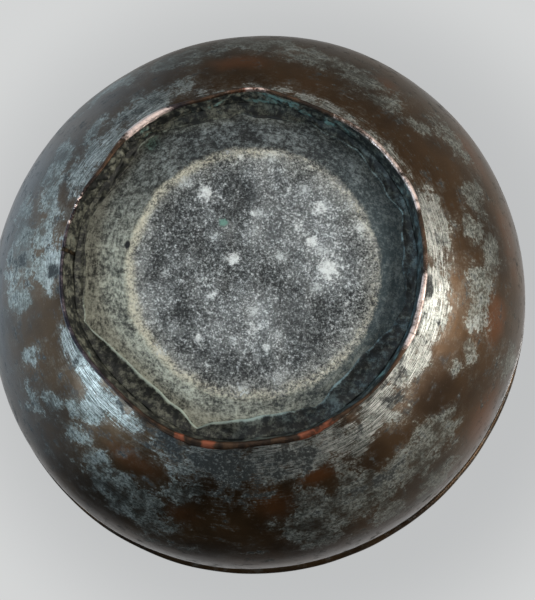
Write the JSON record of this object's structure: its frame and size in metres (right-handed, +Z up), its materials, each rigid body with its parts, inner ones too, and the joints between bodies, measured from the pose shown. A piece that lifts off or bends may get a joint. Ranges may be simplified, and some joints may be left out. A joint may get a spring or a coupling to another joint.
{
  "type": "mixing bowl",
  "caption": "Round copper mixing bowl with a rolled rim, a tinned inside and a soldered foot ring that it stands on.",
  "frame": {"origin": "on the bowl's axis, in the plane that its foot stands on", "axes": "+Z up along the bowl's axis, out of its mouth; +X and +Y are across it, with the foot's brazed seam on the -X side"},
  "size_m": [0.27, 0.27, 0.098],
  "materials": {
    "aged_copper": "dark oxidised copper, semi-gloss, with worn remains of tin",
    "tin_lining": "dull wiped tin with fine scratches",
    "foot_copper": "aged copper, worn bright along the edge",
    "iron_wire": "dark iron wire, covered by the rim",
    "seam_braze": "dull brass braze",
    "solder": "dull grey solder with green-grey patina"
  },
  "bodies": {
    "root": {"bowl_body": "aged_copper", "tin_lining": "tin_lining", "rim_wire": "iron_wire", "foot_ring": "foot_copper", "foot_seam_braze": "seam_braze", "foot_solder_outer": "solder", "foot_solder_inner": "solder"}
  },
  "joints": []
}
